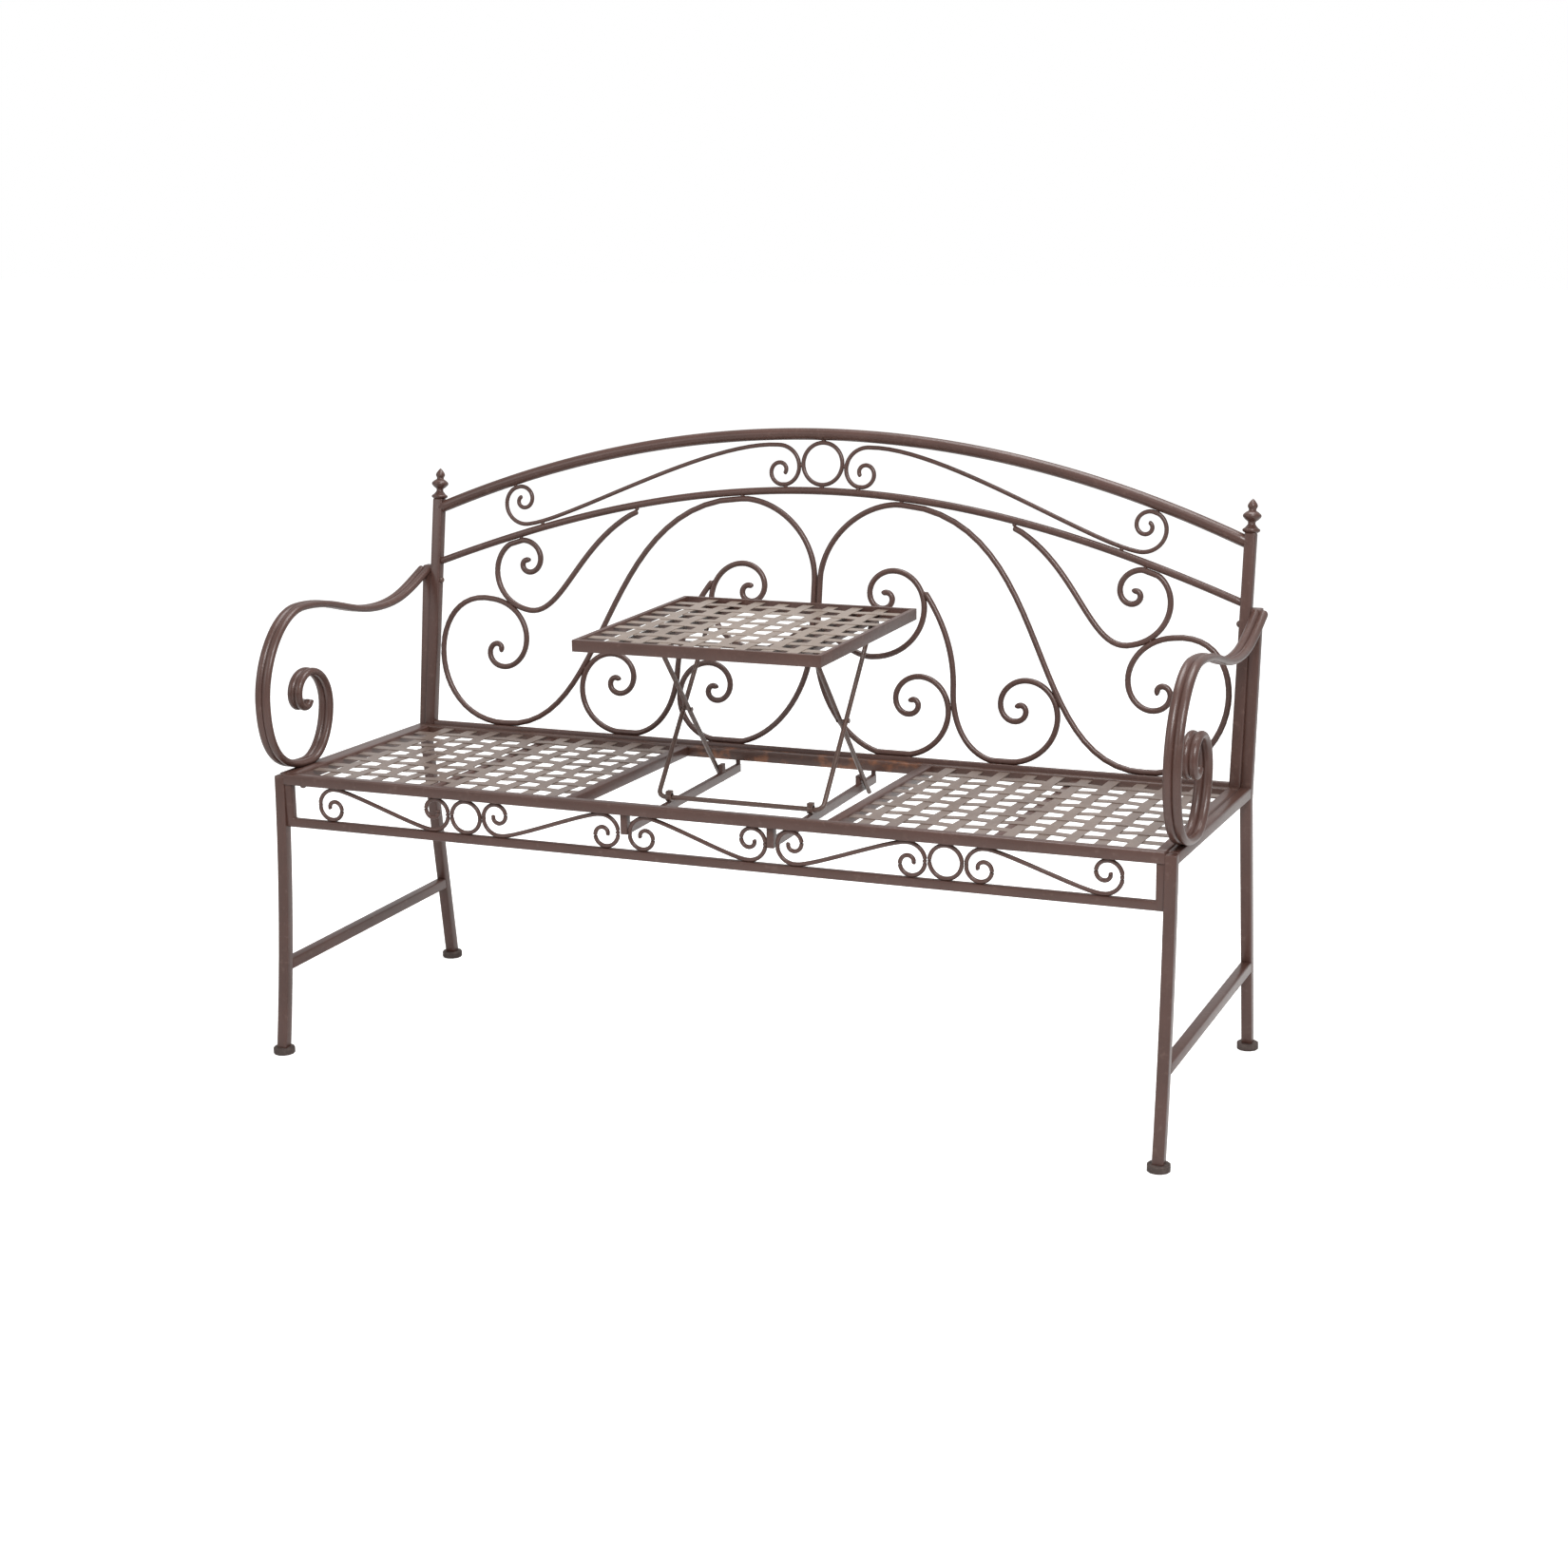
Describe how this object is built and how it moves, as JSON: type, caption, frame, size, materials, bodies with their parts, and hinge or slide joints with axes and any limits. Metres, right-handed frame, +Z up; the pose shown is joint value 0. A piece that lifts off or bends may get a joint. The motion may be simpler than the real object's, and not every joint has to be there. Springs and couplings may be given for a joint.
{
  "type": "garden bench with folding table",
  "caption": "Metal garden bench with an arched scrollwork back, scrolled armrests, woven seat panels and a woven table on scissor legs that folds down level with the seat between them.",
  "frame": {"origin": "on the floor under the middle of the bench's width and depth", "axes": "+X to the viewer's right along the bench, +Y from the front to the back, +Z up"},
  "size_m": [1.507, 0.6076, 0.9794],
  "materials": {
    "brown_paint": "antique dark brown enamel with rubbed warmer patches",
    "woven_strip": "antique brown enamel on flat steel strip",
    "dark_steel": "dark brown enamel on round rod and fasteners",
    "foot_cap": "dark matt foot disc"
  },
  "bodies": {
    "bench": {"left_front_leg": "brown_paint", "right_front_leg": "brown_paint", "left_rear_post": "brown_paint", "right_rear_post": "brown_paint", "left_armrest": "brown_paint", "right_armrest": "brown_paint", "left_seat_side_rail": "brown_paint", "right_seat_side_rail": "brown_paint", "left_stretcher": "brown_paint", "right_stretcher": "brown_paint", "left_front_foot": "foot_cap", "right_front_foot": "foot_cap", "left_rear_foot": "foot_cap", "right_rear_foot": "foot_cap", "left_back_post": "brown_paint", "right_back_post": "brown_paint", "left_finial": "brown_paint", "right_finial": "brown_paint", "top_rail": "brown_paint", "middle_rail": "brown_paint", "bottom_rail": "brown_paint", "centre_ring": "brown_paint", "left_crest_scroll": "brown_paint", "right_crest_scroll": "brown_paint", "left_hook_scroll": "brown_paint", "right_hook_scroll": "brown_paint", "left_arch_scroll": "brown_paint", "right_arch_scroll": "brown_paint", "left_wave_scroll": "brown_paint", "right_wave_scroll": "brown_paint", "left_inner_scroll": "brown_paint", "right_inner_scroll": "brown_paint", "left_back_bolt": "dark_steel", "right_back_bolt": "dark_steel", "seat_front_rail": "brown_paint", "seat_back_rail": "brown_paint", "left_panel_outer_rail": "brown_paint", "right_panel_outer_rail": "brown_paint", "left_panel_inner_rail": "brown_paint", "right_panel_inner_rail": "brown_paint", "left_panel_brace": "brown_paint", "right_panel_brace": "brown_paint", "left_panel_weave": "woven_strip", "right_panel_weave": "woven_strip", "apron_frame": "brown_paint", "apron_scroll_1": "brown_paint", "apron_scroll_2": "brown_paint", "apron_scroll_3": "brown_paint", "apron_scroll_4": "brown_paint", "apron_scroll_5": "brown_paint", "left_apron_ring": "brown_paint", "right_apron_ring": "brown_paint", "left_table_support": "brown_paint", "right_table_support": "brown_paint"},
    "front_legs": {"front_legs": "dark_steel", "left_rivet": "dark_steel", "right_rivet": "dark_steel"},
    "rear_legs": {"rear_legs": "dark_steel"},
    "table": {"table_frame": "brown_paint", "table_weave": "woven_strip"}
  },
  "joints": [
    {"name": "rear_leg_hinge", "type": "hinge", "parent": "bench", "child": "rear_legs", "pos_m": [0, 0.12307, 0.434], "axis": [1, 0, 0], "range_deg": [0, 47.87]},
    {"name": "scissor_pivot", "type": "hinge", "parent": "rear_legs", "child": "front_legs", "pos_m": [0, 0.01987, 0.55431], "axis": [1, 0, 0], "range_deg": [-95.74, 0]},
    {"name": "table_hinge", "type": "hinge", "parent": "front_legs", "child": "table", "pos_m": [0, 0.13283, 0.686], "axis": [1, 0, 0], "range_deg": [0, 47.87]}
  ],
  "couplings": [
    {"joint": "scissor_pivot", "follows": "rear_leg_hinge", "ratio": -2},
    {"joint": "table_hinge", "follows": "rear_leg_hinge", "ratio": 1}
  ]
}
